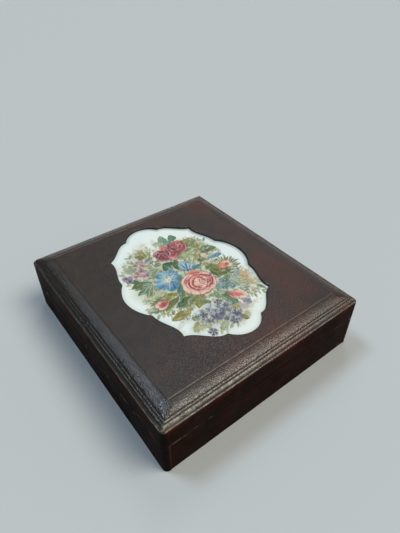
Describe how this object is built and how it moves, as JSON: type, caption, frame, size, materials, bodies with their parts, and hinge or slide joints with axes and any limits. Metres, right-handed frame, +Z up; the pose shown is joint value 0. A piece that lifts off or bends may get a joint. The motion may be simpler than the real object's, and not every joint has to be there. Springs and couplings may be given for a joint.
{
  "type": "leather box",
  "caption": "Rectangular leather-covered box with a bevelled lift-off lid, blind-tooled border lines and a painted floral panel in a shaped window.",
  "frame": {"origin": "centre of the underside", "axes": "+Z up, +Y along the longer side, +X along the shorter side"},
  "size_m": [0.217, 0.24, 0.0624],
  "materials": {
    "leather": "dark brown grained hide, semi-gloss, worn along the edges",
    "painted_card": "off-white card painted with flowers, satin"
  },
  "bodies": {
    "root": {"base": "leather", "lid": "leather", "painted_panel": "painted_card"}
  },
  "joints": []
}
